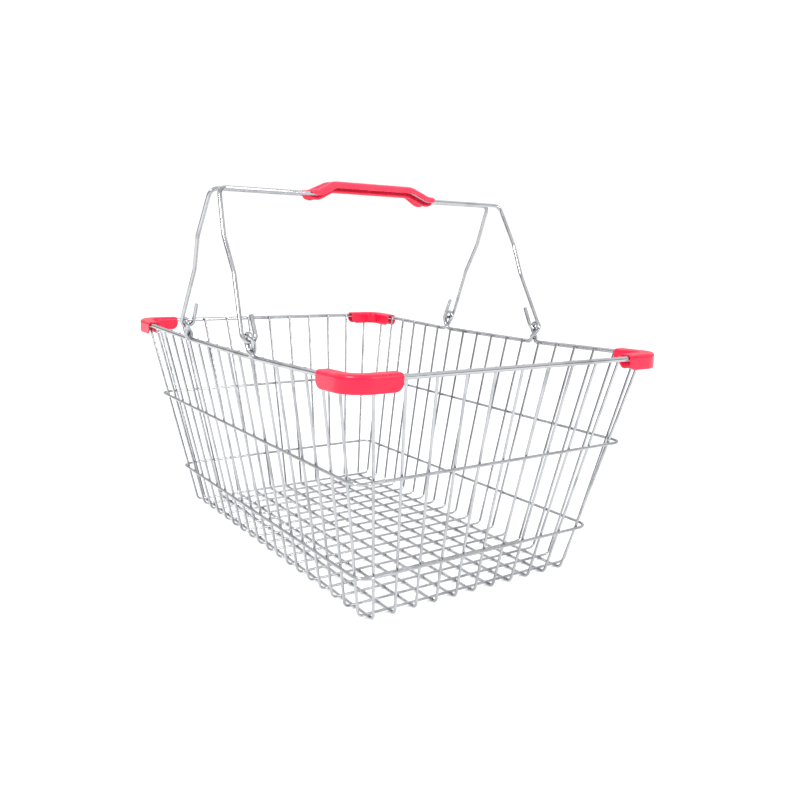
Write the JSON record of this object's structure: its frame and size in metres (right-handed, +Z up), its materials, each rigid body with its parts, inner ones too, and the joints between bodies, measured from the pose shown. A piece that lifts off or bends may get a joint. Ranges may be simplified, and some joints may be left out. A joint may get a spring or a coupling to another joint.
{
  "type": "wire shopping basket",
  "caption": "Hand-held wire shopping basket with flared mesh sides, a looped rim, plastic corner guards and two folding bail handles with channel grips.",
  "frame": {"origin": "middle of the basket's footprint, on the surface that it stands on", "axes": "+X along the basket's length, +Y across it, +Z up"},
  "size_m": [0.4374, 0.3104, 0.327],
  "materials": {
    "rim_chrome": "bright plated steel wire",
    "hoop_chrome": "bright plated steel wire",
    "mesh_chrome": "bright plated steel wire",
    "handle_chrome": "bright plated steel wire",
    "guard_red": "soft gloss moulded plastic, crimson",
    "grip_red": "soft gloss moulded plastic, crimson"
  },
  "bodies": {
    "basket": {"rim_wire": "rim_chrome", "upper_hoop": "hoop_chrome", "lower_hoop": "hoop_chrome", "cross_wire_01": "mesh_chrome", "cross_wire_02": "mesh_chrome", "cross_wire_03": "mesh_chrome", "cross_wire_04": "mesh_chrome", "cross_wire_05": "mesh_chrome", "cross_wire_06": "mesh_chrome", "cross_wire_07": "mesh_chrome", "cross_wire_08": "mesh_chrome", "cross_wire_09": "mesh_chrome", "cross_wire_10": "mesh_chrome", "cross_wire_11": "mesh_chrome", "cross_wire_12": "mesh_chrome", "cross_wire_13": "mesh_chrome", "cross_wire_14": "mesh_chrome", "cross_wire_15": "mesh_chrome", "cross_wire_16": "mesh_chrome", "cross_wire_17": "mesh_chrome", "cross_wire_18": "mesh_chrome", "long_wire_01": "mesh_chrome", "long_wire_02": "mesh_chrome", "long_wire_03": "mesh_chrome", "long_wire_04": "mesh_chrome", "long_wire_05": "mesh_chrome", "long_wire_06": "mesh_chrome", "long_wire_07": "mesh_chrome", "long_wire_08": "mesh_chrome", "long_wire_09": "mesh_chrome", "long_wire_10": "mesh_chrome", "long_wire_11": "mesh_chrome", "corner_guard_right_front": "guard_red", "corner_guard_right_back": "guard_red", "corner_guard_left_front": "guard_red", "corner_guard_left_back": "guard_red"},
    "right_handle": {"handle_right": "handle_chrome", "grip_right": "grip_red"},
    "left_handle": {"handle_left": "handle_chrome", "grip_left": "grip_red"}
  },
  "joints": [
    {"name": "right_handle_hinge", "type": "hinge", "parent": "basket", "child": "right_handle", "pos_m": [0.0685, 0, 0.1983], "axis": [0, 1, 0], "range_deg": [0, 106]},
    {"name": "left_handle_hinge", "type": "hinge", "parent": "basket", "child": "left_handle", "pos_m": [-0.0685, 0, 0.1983], "axis": [0, -1, 0], "range_deg": [0, 106]}
  ]
}
